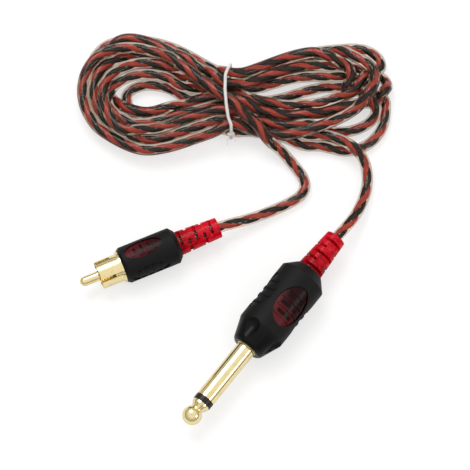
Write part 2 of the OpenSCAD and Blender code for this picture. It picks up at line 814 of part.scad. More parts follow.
jack_tip();
jack_tip_insulator();
jack_sleeve();
jack_sleeve_lug();
jack_lug_washer();
jack_tip_lug();
jack_sleeve_solder();
jack_tip_solder();
jack_black_strands();
jack_red_strands();
jack_black_lead();
jack_red_lead();
jack_cable_end();
jack_inner_mould();
jack_cover();
rca_pin();
rca_insulator();
rca_collar();
rca_ground_lug();
rca_pin_solder();
rca_ground_solder();
rca_black_strands();
rca_red_strands();
rca_black_lead();
rca_red_lead();
rca_cable_end();
rca_inner_mould();
rca_cover();
jack_tail();
cable_hank();
rca_tail();
hank_tie();
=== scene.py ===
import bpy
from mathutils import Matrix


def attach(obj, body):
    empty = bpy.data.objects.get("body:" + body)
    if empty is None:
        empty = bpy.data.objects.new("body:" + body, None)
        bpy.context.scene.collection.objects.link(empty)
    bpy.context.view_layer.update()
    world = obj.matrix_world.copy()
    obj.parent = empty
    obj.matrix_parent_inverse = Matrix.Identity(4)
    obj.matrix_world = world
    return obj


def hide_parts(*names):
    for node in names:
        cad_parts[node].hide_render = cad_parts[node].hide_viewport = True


bl_info = {
    "name": "Instrument Cable Dresser",
    "version": (1, 0, 0),
    "blender": (4, 5, 0),
    "location": "View3D > Sidebar > Cable",
    "description": "Lays the twisted-pair cable in its hank, ties it, and finishes both plugs",
    "category": "Object",
}

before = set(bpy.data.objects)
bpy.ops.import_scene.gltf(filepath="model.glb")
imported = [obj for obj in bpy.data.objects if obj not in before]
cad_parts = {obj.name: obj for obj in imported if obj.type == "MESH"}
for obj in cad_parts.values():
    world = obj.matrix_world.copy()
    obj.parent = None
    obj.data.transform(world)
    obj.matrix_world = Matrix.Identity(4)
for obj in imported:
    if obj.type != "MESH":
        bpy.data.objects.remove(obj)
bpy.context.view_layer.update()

import math

import bpy
import numpy as np
from bpy.props import FloatProperty, FloatVectorProperty, IntProperty, PointerProperty
from bpy.types import Operator, Panel, PropertyGroup
from mathutils import Vector

MM = 0.001

# The ends of the two moulded boots, where the cable leaves each plug, and the way it
# runs there, in millimetres and degrees.
JACK_EXIT, JACK_HEADING = (40.17, 27.42, 8.1), 52.0
RCA_EXIT, RCA_HEADING = (1.91, 31.9, 6.1), 23.3
JACK_REACH, RCA_REACH = 24.0, 18.0  # how far the leads run on inside each plug
JACK_AT, RCA_AT = (10.99, -9.93, 8.1), (-29.41, 18.41, 6.1)  # the front of each cover
PAIR_GAP, LEAD_CORNER = 0.16, 0.48  # between the two leads, and round their corners
TUCK = 0.4  # how far the jacket runs into each boot
LINE_STEP = 0.9  # between points of the finished line
RINGS_PER_TURN = 12  # of each lead, in one turn of the pair

# How the pair turns in the two free tails: distance from that end of the leads, and turns.
JACK_TWIST = ((0, 0), (29.3, 2.26), (43.1, 3.23), (55, 4.2), (59.6, 4.7))
RCA_TWIST = ((71.5, 0.4), (59.6, 1.9), (51.3, 2.87), (38.5, 4.33), (25.7, 5.32), (0, 7.29))
FIRST_TURN = -1.47  # where the leads start, inside the jack plug

# The string crosses the hank at this X, above this Y. It leans to one side over the
# hank (Y and X of its upper run) and comes back underneath (Y and X of its lower run).
TIE_X, HANK_Y = 5.2, 60
STRING_OVER = ((66.5, 68.5, 72.5, 78, 84, 86.5, 88), (6.1, 5.2, 4.5, 4.1, 4.2, 5.0, 5.8))
STRING_UNDER = ((66, 88), (6.1, 5.8))
STRING_ROOM = 1.2  # left for the string between the table and the lowest strands
STRING_LAY = 2.6  # length of string in one turn of its plies
KNOT_SIZE = 0.34

# How the strands settle: the pull back to the drawn route, the easing of bends, the
# share of each overlap or stretch mended at once, and the points held near each end.
ROUTE_PULL, BEND_EASE, MEND, HELD = 0.03, 0.7, 0.25, 12

# The cable from the jack plug to the RCA plug, in millimetres: 14 passes through the
# tie, with seven turns round the left lobe and six round the right one.
ROUTE = (
    # from the jack plug, up over the right lobe's lower edge, and under the tie
    (40.2, 27.4, 8.1), (41.4, 29, 8), (42.6, 30.6, 7.6), (44.8, 33, 6.5), (47.1, 36.6, 5),
    (49, 40, 3.6), (50.4, 43.7, 2.6), (51.3, 47.3, 2), (51.6, 51.3, 1.9), (51.4, 54.5, 2.4),
    (50.6, 56.7, 3.6), (49.3, 58.7, 5.2), (47.2, 60.5, 6), (45, 62, 6.4), (42.1, 63, 6.4),
    (39.8, 64.4, 6), (35.5, 65.5, 5.4), (30.3, 67.3, 3.6), (22.3, 69.8, 2), (13.3, 72.3, 2.2),
    (5.2, 73.5, 3.1),
    # left lobe 1, the small eye
    (-3, 73.3, 2.4), (-11.7, 74.1, 1.9), (-19.7, 74.9, 1.9), (-28.5, 74.5, 1.9),
    (-30.2, 76.1, 1.9), (-30.8, 78.1, 1.9), (-29.1, 81, 1.9), (-26.9, 83.5, 1.9), (-23.9, 84.9, 2),
    (-20.6, 85.4, 2), (-17.2, 84.7, 2), (-14.6, 83.9, 2.1), (-10.8, 82.2, 2.1), (-7.8, 80.6, 2.2),
    (-5.2, 79.3, 2.2), (5.2, 77.7, 3.1),
    # right lobe 1
    (13.3, 78.1, 2.4), (22.3, 79.1, 2.2), (29.4, 81.9, 2.2), (33.7, 82.9, 2.2), (38, 84.1, 2.2),
    (41.2, 85.2, 2.2), (44.4, 85.7, 2.2), (48.3, 84.7, 2), (52.1, 82.9, 1.9), (55.3, 80.1, 1.9),
    (57.7, 77.6, 1.9), (58.3, 74.1, 1.9), (57.7, 70.6, 1.9), (56.4, 67.3, 1.9), (54.4, 64.8, 1.9),
    (51.6, 62.7, 1.9), (49.2, 61.1, 1.9), (46.8, 60.4, 1.9), (42, 60.4, 1.9), (37.7, 62.3, 1.9),
    (33.5, 64.1, 1.9), (30.3, 65.1, 1.9), (22.3, 66, 1.9), (14.3, 67.9, 2), (5.2, 69.2, 3.1),
    # left lobe 2
    (2.8, 69.5, 2.4), (-3.9, 67.5, 2.3), (-9.4, 65.7, 2.1), (-15.6, 63.7, 2), (-20.2, 63.1, 1.9),
    (-26.1, 63.5, 1.9), (-31.1, 65.6, 1.9), (-34.5, 67.9, 1.9), (-37.5, 70.6, 1.9),
    (-40.1, 73.8, 1.9), (-41.9, 77.5, 1.9), (-42.7, 81.8, 1.9), (-42.5, 86, 1.9),
    (-41.8, 90.2, 1.9), (-40, 93.9, 1.9), (-37.4, 97.2, 1.9), (-34.5, 99.7, 1.9),
    (-30.7, 101, 1.9), (-26.2, 101.6, 1.9), (-22.3, 101, 2.5), (-18.5, 99.8, 3),
    (-14.7, 98.3, 3.5), (-9.8, 95.7, 4), (-6, 93, 4.5), (-1.8, 90, 5), (1.6, 88, 5.5),
    (5.2, 85, 9.3),
    # right lobe 2
    (11.5, 85.8, 6.5), (14.9, 87.6, 6.5), (19, 89.9, 6.4), (23.9, 92.4, 6.4), (29.2, 93.9, 6.3),
    (34.1, 94.7, 6.2), (38.6, 94.4, 6.2), (41.5, 93.3, 6.1), (43.8, 91.5, 6.1), (45.6, 89.1, 6),
    (47, 86.4, 6), (46.5, 85.1, 4.6), (47.2, 82.5, 3.4), (46.5, 80.1, 2.2), (43.9, 77.9, 1.9),
    (39.3, 75.9, 1.9), (34.3, 74.3, 1.9), (29.3, 73.8, 1.9), (22.3, 73.5, 1.9), (13.3, 74.1, 4.2),
    (5.2, 72.5, 9.2),
    # left lobe 3
    (3.2, 73.9, 8.4), (-1.8, 72.5, 8), (-7.2, 70.4, 7.7), (-13.4, 67.8, 7.4), (-19.2, 65.8, 7.2),
    (-26.3, 64.2, 7), (-31.3, 66.1, 7.2), (-33.8, 68.7, 7.4), (-35.5, 71.7, 7.7), (-36.3, 75.2, 8),
    (-36.5, 79.1, 8.4), (-36.8, 80.9, 8.6), (-35.5, 84.4, 8.1), (-32.4, 87.7, 7.7),
    (-29.5, 89.6, 7.2), (-27.3, 90.4, 6.7), (-24.3, 90.9, 6.4), (-21.3, 91.2, 6.3),
    (-18.3, 90.6, 6.2), (-15.3, 89.5, 6.1), (-12.3, 87.4, 6), (-9.7, 86.5, 3.4), (-3, 86.1, 2.8),
    (5.2, 86.2, 3.1),
    # right lobe 3
    (13.3, 88.9, 2.6), (22.3, 92.1, 2.2), (31.3, 95.1, 2), (38.3, 96.8, 2.6), (44.7, 97.4, 3.6),
    (49, 97.4, 4.4), (53.3, 96.4, 4.6), (55.8, 93.7, 4.6), (57.2, 90.4, 4.8), (56.5, 87.5, 5.2),
    (53.9, 86, 5.4), (50.9, 85.1, 5.4), (48.7, 82.9, 5.4), (45.4, 81.3, 5.2), (42.2, 79.4, 5),
    (37.9, 77.1, 5), (33.6, 75.2, 5), (29.3, 74.6, 5), (22.3, 75.1, 5.2), (13.3, 76.7, 5.6),
    (5.2, 79.8, 6.2),
    # left lobe 4
    (2.8, 77.5, 6), (-2.3, 77.6, 4.6), (-8.2, 76.3, 3.4), (-12.3, 74.7, 3.4), (-15.7, 73.6, 3.8),
    (-20.2, 72.9, 4.8), (-24.4, 73.3, 5.2), (-28.6, 74.3, 5.2), (-31.6, 76, 4.2), (-33.4, 77.9, 3),
    (-36, 82.9, 2.4), (-37.6, 86.4, 2.1), (-38.5, 89.7, 1.9), (-38.4, 93.5, 1.9),
    (-37.2, 96.6, 2.2), (-35.5, 98.9, 2.9), (-32.8, 100.1, 4.1), (-29.8, 100.6, 4.8),
    (-26, 100.6, 5.2), (-22.2, 99.5, 5.4), (-18.8, 97.7, 5.6), (-15, 95.6, 5.9),
    (-12.3, 93.8, 6.1), (-8.9, 91.4, 6.3), (-5.1, 88.8, 6.5), (-1.4, 86.2, 6.8), (2, 84.3, 7),
    (5.2, 80.9, 9.3),
    # right lobe 4
    (11.5, 83.4, 6.8), (16.4, 85.5, 6.6), (20.1, 87.2, 6.5), (23.5, 88.3, 6.3), (28, 89.4, 6.1),
    (32.1, 90.1, 5.9), (36.6, 90.2, 5.8), (40.8, 89.5, 5.6), (46.3, 88.5, 3.2), (50.3, 88.7, 1.9),
    (54.3, 88.9, 1.9), (57.5, 88, 1.9), (59.6, 85.7, 1.9), (59.5, 82.6, 1.9), (57.3, 80, 1.9),
    (53.9, 78.7, 2.2), (50.7, 78.1, 3.6), (47.5, 77.2, 4.6), (42.1, 75.2, 5), (36.3, 73, 5),
    (29.3, 71.7, 5), (22.3, 71.7, 5.2), (13.3, 73.5, 5.8), (5.2, 75.6, 6.2),
    # left lobe 5
    (3.2, 76.3, 6), (-1.8, 76.1, 5.8), (-7.3, 74.5, 5.5), (-13.5, 72.1, 5.4), (-19.3, 70, 5.3),
    (-25.2, 68.7, 5.2), (-27.7, 68.9, 5.2), (-31, 70, 5.2), (-33.6, 72.8, 5.2), (-34.8, 76.5, 5.2),
    (-35.2, 80.6, 5.2), (-35.2, 80.8, 5.2), (-33.4, 83.7, 5.1), (-30.6, 85.4, 5), (-27.3, 87.1, 5),
    (-24.3, 87.8, 4.9), (-21.3, 88, 4.8), (-17.6, 87.7, 4.6), (-14.6, 87.1, 4.5),
    (-12.3, 86.5, 4.2), (-8.9, 85, 3.8), (-5.9, 83.3, 3.4), (-3, 81.7, 3), (5.2, 82, 3.1),
    # right lobe 5
    (13.4, 82.5, 3.8), (18.3, 84, 3.9), (22.8, 85.3, 4), (29.5, 87.1, 4.2), (35.2, 87.4, 4.3),
    (40, 87.6, 4.4), (44.9, 87.3, 2.4), (48.7, 86.3, 2.2), (52.7, 83.5, 5.2), (55.1, 78.7, 5.4),
    (55.9, 75.5, 4.6), (55.9, 73.5, 3.6), (54.6, 71.9, 2.8), (52.4, 70.5, 2.4), (49.6, 69, 2),
    (46.3, 67.2, 1.9), (43.2, 67.3, 1.9), (36.3, 67.9, 2), (29.3, 68.5, 3.6), (22.3, 68, 5.2),
    (13.3, 70.1, 5.6), (5.2, 71.3, 6.2),
    # left lobe 6
    (2.8, 70.4, 6), (-3.9, 68.4, 5.7), (-9.3, 66.6, 5.4), (-15.5, 64.4, 5.2), (-20.1, 63.2, 5.1),
    (-24.3, 62.8, 5), (-29.3, 64.5, 5), (-32.7, 66.3, 5), (-35.6, 69, 5), (-38.2, 72.6, 5.1),
    (-39.9, 76.5, 5.1), (-40.4, 81, 5.2), (-40.3, 82.5, 5.2), (-39.9, 85.9, 4.9),
    (-38.5, 89.3, 4.6), (-35.1, 92.8, 4.3), (-31.6, 94.5, 3.9), (-27.5, 95.2, 3.5),
    (-23.7, 94.7, 3.4), (-19.6, 93.7, 3.3), (-15.4, 91.8, 3.2), (-9.7, 85.1, 5.2), (-3, 83.9, 6),
    (5.2, 84.1, 6.2),
    # right lobe 6, over the others
    (13.3, 87.5, 4.6), (22.3, 90.9, 3.8), (31.3, 93.9, 3.4), (36.8, 95.8, 4), (41.4, 94.9, 6.6),
    (44.4, 93, 8.8), (47.6, 92.2, 9), (50.8, 91, 9), (53.3, 87.7, 9), (54.5, 83.9, 9),
    (54.4, 81.1, 9), (53, 78.4, 8.8), (50.4, 75.4, 8.2), (47.2, 72.8, 7.6), (43.9, 71, 7.4),
    (39.7, 68.5, 8.2), (35.4, 66.8, 8.6), (31, 65.3, 7.6), (24.3, 65.4, 6.2), (17.3, 66.7, 5.4),
    (11.3, 68.1, 7), (5.2, 68.3, 9.2),
    # left lobe 7, the outermost
    (4.5, 66.1, 8), (1.2, 65.5, 7.5), (-3.8, 63.9, 7.1), (-9.2, 61.9, 6.6), (-15.4, 59.9, 6.2),
    (-21.7, 59.5, 5.9), (-25.9, 60.5, 5.6), (-30.1, 62.3, 5.4), (-33.4, 64.7, 5.3),
    (-36.2, 67, 5.2), (-39.2, 69.8, 5.2), (-41.8, 72.8, 5.3), (-43.4, 76.4, 5.3),
    (-44.2, 80.5, 5.4), (-44.2, 82.4, 5.4), (-43.7, 85.5, 5.7), (-42.6, 88.7, 6),
    (-40.8, 91.6, 6.4), (-38.2, 94, 6.7), (-35.2, 95.5, 7), (-31.8, 96.4, 7.2), (-28.1, 96.6, 7.3),
    (-25.1, 96.1, 7.6), (-21.3, 95, 8), (-17.5, 93.3, 8.4), (-13.7, 91, 8.9), (-10.3, 88.6, 9.4),
    (-6.6, 85.2, 9.8), (-3.2, 82.3, 10.1), (0.2, 79.7, 10.4),
    # across the top, under the tie, and down to the RCA plug
    (4.5, 75.8, 11.2), (7.2, 73.5, 11), (9.3, 71.5, 10.6), (11.5, 69.5, 10.2), (13.6, 67.5, 9.6),
    (15.7, 65.7, 8.8), (18, 64.1, 7.4), (20.5, 62.5, 5.2), (22.7, 60.4, 3.4), (25.1, 57.9, 2.2),
    (27.2, 55.1, 1.9), (29.4, 52.3, 1.9), (31.2, 49.7, 1.9), (31.4, 46.9, 1.9), (29.4, 44.5, 1.9),
    (26.3, 42.5, 1.9), (23.1, 40.8, 1.9), (19.4, 39.2, 1.9), (15.8, 37.5, 2.2), (12.5, 35.9, 3.1),
    (8.7, 34.4, 4.7), (5.4, 33.2, 5.8), (1.9, 31.9, 6.1),
)

# The camera's aim on the table, and its lens and sensor, in millimetres
AIM, LENS, SENSOR = (7.39, 31.51, 0), 150.86, 36.0

# Each lamp's name, place and width in metres, share of the key light's power, and depth
# as a share of its width
LAMPS = (("key_softbox", (-0.14, 0.40, 0.72), 0.42, 1.0, 1.0),
         ("low_strip", (0.55, -0.25, 0.35), 0.25, 0.22, 0.4))

# The room's brightness by height, from 0 at the horizon to 1 overhead. The thin dark
# band gives the gold its dark edges.
ROOM_BANDS = ((0.05, 0.1), (0.25, 0.7), (0.4, 0.9), (0.44, 0.12), (0.5, 0.15),
              (0.54, 0.95), (0.72, 1.0))
FLOOR_GLOW, MIRRORED_GLOW = 0.6, 0.6  # the floor's own light, and its share in reflections
FLOOR_DROP = 0.00005  # metres, so that the floor and the cable don't meet in one plane


# ---------------------------------------------------------------- settings

class CableSettings(PropertyGroup):
    jacket_width: FloatProperty(
        name="Jacket", description="Outside diameter of the clear jacket",
        default=0.0038, min=0.002, max=0.006, subtype="DISTANCE", unit="LENGTH")
    pair_width: FloatProperty(
        name="Pair", description="Width of the two leads together, pressed flat to each other",
        default=0.0023, min=0.001, max=0.0036, subtype="DISTANCE", unit="LENGTH")
    twist_pitch: FloatProperty(
        name="Twist pitch", description="Length of cable for one full turn of the pair",
        default=0.011, min=0.006, max=0.03, subtype="DISTANCE", unit="LENGTH")
    settle_rounds: IntProperty(
        name="Settling rounds", description="Rounds of pushing the strands off each other",
        default=400, min=50, max=1000)
    red: FloatVectorProperty(
        name="Red lead", description="Colour of the red lead", subtype="COLOR",
        default=(0.60, 0.07, 0.043), min=0, max=1, size=3)
    black: FloatVectorProperty(
        name="Black lead", description="Colour of the black lead", subtype="COLOR",
        default=(0.014, 0.008, 0.003), min=0, max=1, size=3)


class TieSettings(PropertyGroup):
    string_width: FloatProperty(
        name="String", description="Diameter of the three-ply string",
        default=0.00106, min=0.0006, max=0.003, subtype="DISTANCE", unit="LENGTH")
    colour: FloatVectorProperty(
        name="String colour", description="Colour of the cotton string", subtype="COLOR",
        default=(0.84, 0.82, 0.8), min=0, max=1, size=3)


class PlugSettings(PropertyGroup):
    gold: FloatVectorProperty(
        name="Gold", description="Colour of the plated shaft, pin and collar", subtype="COLOR",
        default=(1.0, 0.84, 0.45), min=0, max=1, size=3)
    cover: FloatVectorProperty(
        name="Cover", description="Colour of the matt moulded covers", subtype="COLOR",
        default=(0.0062, 0.0064, 0.0066), min=0, max=1, size=3)
    mould: FloatVectorProperty(
        name="Inner mould", description="Colour of the translucent vinyl boots and pads",
        subtype="COLOR", default=(0.93, 0.002, 0.02), min=0, max=1, size=3)


class StageSettings(PropertyGroup):
    distance: FloatProperty(
        name="Camera distance", description="Distance from the camera to the table",
        default=0.65, min=0.2, max=3.0, subtype="DISTANCE", unit="LENGTH")
    elevation: FloatProperty(
        name="Elevation", description="Camera angle above the table",
        default=math.radians(70), min=0.1, max=1.57, subtype="ANGLE", unit="ROTATION")
    key_power: FloatProperty(
        name="Key light", description="Power of the large soft box behind the hank",
        default=2.2, min=0, max=100, subtype="POWER", unit="POWER")
    sky: FloatProperty(
        name="Room light", description="Strength of the even white room round the table",
        default=0.85, min=0, max=2)


def deselect_all():
    if bpy.context.mode != "OBJECT":
        bpy.ops.object.mode_set(mode="OBJECT")
    bpy.ops.object.select_all(action="DESELECT")


# ---------------------------------------------------------------- finishes

class Finish:
    """One material, with short calls to add and join its nodes."""

    def __init__(self, name, **shader):
        self.mat = bpy.data.materials.new(name)
        self.mat.use_nodes = True
        self.nodes = self.mat.node_tree.nodes
        self.shader = self.nodes["Principled BSDF"]
        self.fill(self.shader, shader)

    def fill(self, node, values):
        for key, value in values.items():
            socket = node.inputs.get(key.replace("_", " "))
            if socket is None:
                setattr(node, key, value)
            elif hasattr(value, "node"):
                self.mat.node_tree.links.new(value, socket)
            elif socket.type == "RGBA" and len(value) == 3:
                socket.default_value = (*value, 1.0)
            else:
                socket.default_value = value
        return node

    def add(self, kind, **values):
        return self.fill(self.nodes.new(kind), values)

    def place(self, turn=0.0, stretch=(1, 1, 1), origin=(0, 0, 0)):
        """Object coordinates, moved and turned so that X runs along a plug, then stretched."""
        at = self.nodes.new("ShaderNodeTexCoord").outputs["Object"]
        mapping = self.add("ShaderNodeMapping", Vector=at)
        mapping.vector_type = "TEXTURE" if turn else "POINT"
        mapping.inputs["Rotation"].default_value = (0, 0, math.radians(turn))
        mapping.inputs["Location"].default_value = [c * MM for c in origin]
        if not turn:
            mapping.inputs["Scale"].default_value = stretch
            return mapping.outputs[0]
        return self.add("ShaderNodeMapping", Vector=mapping.outputs[0], Scale=stretch).outputs[0]

    def grain(self, where, scale, detail=3.0, roughness=0.55):
        return self.add("ShaderNodeTexNoise", Vector=where, Scale=scale, Detail=detail,
                        Roughness=roughness).outputs[0]

    def ramp(self, value, *stops):
        node = self.add("ShaderNodeValToRGB", Fac=value)
        band = node.color_ramp
        while len(band.elements) < len(stops):
            band.elements.new(0.5)
        for element, (position, colour) in zip(band.elements, stops):
            element.position = position
            element.color = (*colour, 1.0)
        return node.outputs[0]

    def span(self, value, low, high, start=0.0, end=1.0):
        """Low to high as the value goes from start to end."""
        return self.add("ShaderNodeMapRange", Value=value, From_Min=start, From_Max=end,
                        To_Min=low, To_Max=high).outputs[0]

    def calc(self, operation, *terms):
        node = self.add("ShaderNodeMath", operation=operation)
        for socket, term in zip(node.inputs, terms):
            if hasattr(term, "node"):
                self.mat.node_tree.links.new(term, socket)
            else:
                socket.default_value = term
        return node.outputs[0]

    def bump(self, height, strength, distance):
        normal = self.add("ShaderNodeBump", Height=height, Strength=strength, Distance=distance)
        self.fill(self.shader, {"Normal": normal.outputs[0]})

    def use(self, **values):
        self.fill(self.shader, values)
        return self.mat


def tint(colour, factor):
    return tuple(min(1.0, c * factor) for c in colour)


def gold_finish(name, colour, heading):
    """Bright plating, with faint turning lines round the plug."""
    f = Finish(name, Metallic=1.0)
    turned = f.place(heading, (5200, 240, 240))
    lines = f.grain(turned, 1.0, 2.0)
    patches = f.grain(f.place(), 420, 4.0)
    base = f.ramp(patches, (0.32, tint(colour, 0.86)), (0.5, colour), (0.7, (1.0, 0.86, 0.5)))
    f.bump(lines, 0.1, 0.00002)
    return f.use(Base_Color=base, Roughness=f.span(lines, 0.07, 0.2))


def tinned_finish(name, colour, rough):
    """Solder and tinned or bare metal, a little uneven."""
    f = Finish(name, Metallic=1.0)
    wash = f.grain(f.place(), 1500, 5.0)
    base = f.ramp(wash, (0.3, tint(colour, 0.7)), (0.7, colour))
    f.bump(wash, 0.25, 0.00003)
    return f.use(Base_Color=base, Roughness=f.span(wash, rough - 0.08, rough + 0.12))


def moulded_finish(name, colour, rough, grain_scale, depth):
    """Plain moulded plastic or pressed fibre."""
    f = Finish(name, Specular_IOR_Level=0.24)
    where = f.place()
    grain = f.grain(where, grain_scale, 2.0, 0.7)
    clouds = f.grain(where, 130, 3.0)
    base = f.ramp(clouds, (0.3, tint(colour, 0.8)), (0.7, tint(colour, 1.25)))
    f.bump(grain, depth, 0.00004)
    return f.use(Base_Color=base, Roughness=f.span(clouds, rough - 0.06, rough + 0.06))


def cover_finish(name, colour, heading, at, nose):
    """Fine matt black, smoother over the nose, and darker there with painted shade."""
    f = Finish(name, Specular_IOR_Level=0.16)
    where = f.place(heading, origin=at)
    clouds = f.grain(where, 130, 3.0)
    along = f.add("ShaderNodeSeparateXYZ", Vector=where).outputs[0]
    # Painted shade: the tone is dark over the nose and rises to full across the nose span.
    body = f.span(along, 0.0, 0.7, *(n * MM for n in nose))
    shade = f.calc("MULTIPLY_ADD", clouds, 0.3, body)
    base = f.ramp(shade, (0.1, tint(colour, 0.25)), (0.75, tint(colour, 0.85)),
                  (1.0, tint(colour, 1.3)))
    f.bump(f.grain(where, 5200, 2.0, 0.7), 0.3, 0.00004)
    return f.use(Base_Color=base, Roughness=f.span(shade, 0.26, 0.6))


def vinyl_finish(name, colour, heading, at, window, relief, bars):
    """Soft red vinyl, partly painted light and shade. The strain relief is bright red, with
    random darker and brighter pink patches painted in as shade and highlights. The window over
    the joints is painted shade: a painted pale sheen at its front end, then a painted red glow,
    then near black, with three bars of painted shade between the window's ribs. Window is
    where the painted dark starts and ends along the plug, and relief where the bright part
    starts. Bars is the middle bar's place, their pitch and half length, and the window's lean
    round the plug."""
    f = Finish(name, IOR=1.35, Transmission_Weight=0.45, Specular_IOR_Level=0.05)
    where = f.place(heading, origin=at)
    cloud = f.grain(where, 800, 3.0)
    along, across, high = f.add("ShaderNodeSeparateXYZ", Vector=where).outputs
    # Painted light and shade across the window, leaning round the plug: a pale sheen and a red
    # glow at its front end, and painted shade to near black behind, under random clouds.
    slant = f.calc("MULTIPLY_ADD", across, -0.7, along)
    depth = f.span(slant, 0.0, 0.48, *(w * MM for w in window))
    depth = f.calc("MULTIPLY_ADD", cloud, 0.14, depth)
    # Three bars of painted shade in the grooves between the window's ribs.
    middle, pitch, half, lean = bars
    girth = f.calc("MULTIPLY_ADD", across, math.cos(math.radians(lean)), f.calc(
        "MULTIPLY", high, math.sin(math.radians(lean))))
    step = f.calc("DIVIDE", f.calc("SUBTRACT", along, middle * MM), pitch * MM)
    offset = f.calc("ABSOLUTE", f.calc("SUBTRACT", step, f.calc("ROUND", step)))
    steps = f.calc("ABSOLUTE", step)
    reach = f.calc("MULTIPLY_ADD", steps, 0.8 * MM, f.calc("ABSOLUTE", girth))
    bar = f.calc("MULTIPLY", f.span(offset, 1, 0, 0.16, 0.28), f.span(steps, 1, 0, 1.38, 1.42))
    bar = f.calc("MULTIPLY", bar, f.span(reach, 1, 0, (half - 0.4) * MM, half * MM))
    depth = f.calc("MAXIMUM", depth, f.calc("MULTIPLY", bar, 0.66))
    # The strain relief keeps its bright red, with random darker and brighter pink patches as
    # painted shade and painted highlight, and it is darker over its first 9 mm.
    bright = f.span(along, 0.0, 1.0, (relief - 0.6) * MM, (relief + 0.4) * MM)
    patchy = f.span(along, 0.905, 0.93, relief * MM, (relief + 9) * MM)
    depth = f.calc("MAXIMUM", depth, f.calc("MULTIPLY_ADD", cloud, 0.1, f.calc(
        "MULTIPLY", bright, patchy)))
    # Painted sheen, painted red glow and painted shade to near black in the window and its bars;
    # dark, full and pink-bright reds in the relief.
    base = f.ramp(depth, (0.04, (0.12, 0.026, 0.03)), (0.22, (0.18, 0.012, 0.018)),
                  (0.38, (0.04, 0.001, 0.002)), (0.66, (0.01, 0.0004, 0.001)),
                  (0.95, tint(colour, 0.4)), (0.98, colour), (1.0, (1.0, 0.03, 0.07)))
    f.bump(f.grain(where, 3200, 2.0), 0.12, 0.00003)
    return f.use(Base_Color=base, Roughness=f.span(depth, 0.42, 0.2))


def lead_finish(name, colour):
    """Satin vinyl insulation."""
    f = Finish(name, Specular_IOR_Level=0.2)
    where = f.place()
    cloud = f.grain(where, 300, 3.0)
    base = f.ramp(cloud, (0.3, tint(colour, 0.82)), (0.7, tint(colour, 1.15)))
    f.bump(f.grain(where, 4000, 2.0), 0.1, 0.00002)
    return f.use(Base_Color=base, Roughness=f.span(cloud, 0.36, 0.5))


def jacket_finish(name):
    """Clear vinyl, a little warm and hazy, with faint drawing marks along it."""
    f = Finish(name, IOR=1.2, Transmission_Weight=0.99, Roughness=0.08, Coat_Weight=0.55,
               Coat_IOR=1.32, Coat_Roughness=0.06)
    haze = f.grain(f.place(), 350, 3.0)
    base = f.ramp(haze, (0.3, (0.62, 0.52, 0.43)), (0.7, (0.79, 0.70, 0.60)))
    f.bump(f.grain(f.place(), 1800, 2.0), 0.05, 0.00003)
    return f.use(Base_Color=base)


def string_finish(name, colour):
    """Soft cotton, with fine fibres."""
    f = Finish(name, Sheen_Weight=0.4, Sheen_Roughness=0.5, Specular_IOR_Level=0.2)
    where = f.place()
    fibre = f.grain(f.place(0, (2600, 9000, 9000)), 1.0, 4.0)
    base = f.ramp(f.grain(where, 700, 3.0), (0.3, tint(colour, 0.9)), (0.7, tint(colour, 1.05)))
    f.bump(fibre, 0.5, 0.00006)
    return f.use(Base_Color=base, Roughness=f.span(fibre, 0.75, 0.95))


# ---------------------------------------------------------------- the cable's line

def curve_through(points, parts=24):
    """A smooth curve through the points, with so many parts between two of them."""
    p = np.vstack([2 * points[0] - points[1], points, 2 * points[-1] - points[-2]])
    t = np.linspace(0, 1, parts, endpoint=False)[:, None]
    run = [0.5 * (2 * b + (c - a) * t + (2 * a - 5 * b + 4 * c - d) * t * t
                  + (3 * b - a - 3 * c + d) * t ** 3)
           for a, b, c, d in zip(p[:-3], p[1:-2], p[2:-1], p[3:])]
    return np.vstack(run + [points[-1:]])


def distances(line):
    """How far along the line each of its points is."""
    return np.r_[0, np.cumsum(np.linalg.norm(np.diff(line, axis=0), axis=1))]


def even_steps(line, step):
    along = distances(line)
    at = np.linspace(0, along[-1], int(round(along[-1] / step)) + 1)
    return np.stack([np.interp(at, along, column) for column in line.T], 1)


def settle(points, width, rounds, step=1.9):
    """Rounds the route off and pushes crossing strands a full width apart, above the
    table and, under the tie, above the string. All in millimetres."""
    start = even_steps(curve_through(points), step)
    reach = 1.9 * width  # strands nearer than this are looked at for overlaps
    for _ in range(6):
        start[1:-1] = 0.25 * start[:-2] + 0.5 * start[1:-1] + 0.25 * start[2:]
    line = start.copy()
    link = np.linalg.norm(np.diff(line, axis=0), axis=1).mean()
    first, second = np.triu_indices(len(line), int(math.ceil(reach / step)))
    for turn in range(rounds):
        if turn % 8 == 0:
            near = ((line[first] - line[second]) ** 2).sum(1) < reach ** 2
            one, two = first[near], second[near]
        pull = (start - line) * ROUTE_PULL
        pull[:HELD] = pull[-HELD:] = 0
        line += pull
        bend = np.zeros_like(line)
        bend[2:-2] = 4 * (line[1:-3] + line[3:-1]) - line[:-4] - line[4:] - 6 * line[2:-2]
        line += bend * BEND_EASE / 16
        for _ in range(3):
            gap = line[two] - line[one]
            apart = np.linalg.norm(gap, axis=1)
            touch = apart < width
            push = gap[touch] / np.maximum(apart[touch], 1e-6)[:, None]
            push *= (width - apart[touch])[:, None] * MEND
            np.add.at(line, one[touch], -push)
            np.add.at(line, two[touch], push)
            span = line[1:] - line[:-1]
            size = np.linalg.norm(span, axis=1)[:, None]
            fix = span * (1 - link / size) * MEND
            line[:-1] += fix
            line[1:] -= fix
            low = np.full(len(line), width / 2)
            low[(abs(line[:, 0] - TIE_X) < 2.2) & (line[:, 1] > HANK_Y)] += STRING_ROOM
            line[:, 2] = np.maximum(line[:, 2], low)
            line[:HELD // 2], line[-HELD // 2:] = start[:HELD // 2], start[-HELD // 2:]
    return line


def heading_vector(degrees):
    turn = math.radians(degrees)
    return np.array([math.cos(turn), math.sin(turn), 0.0])


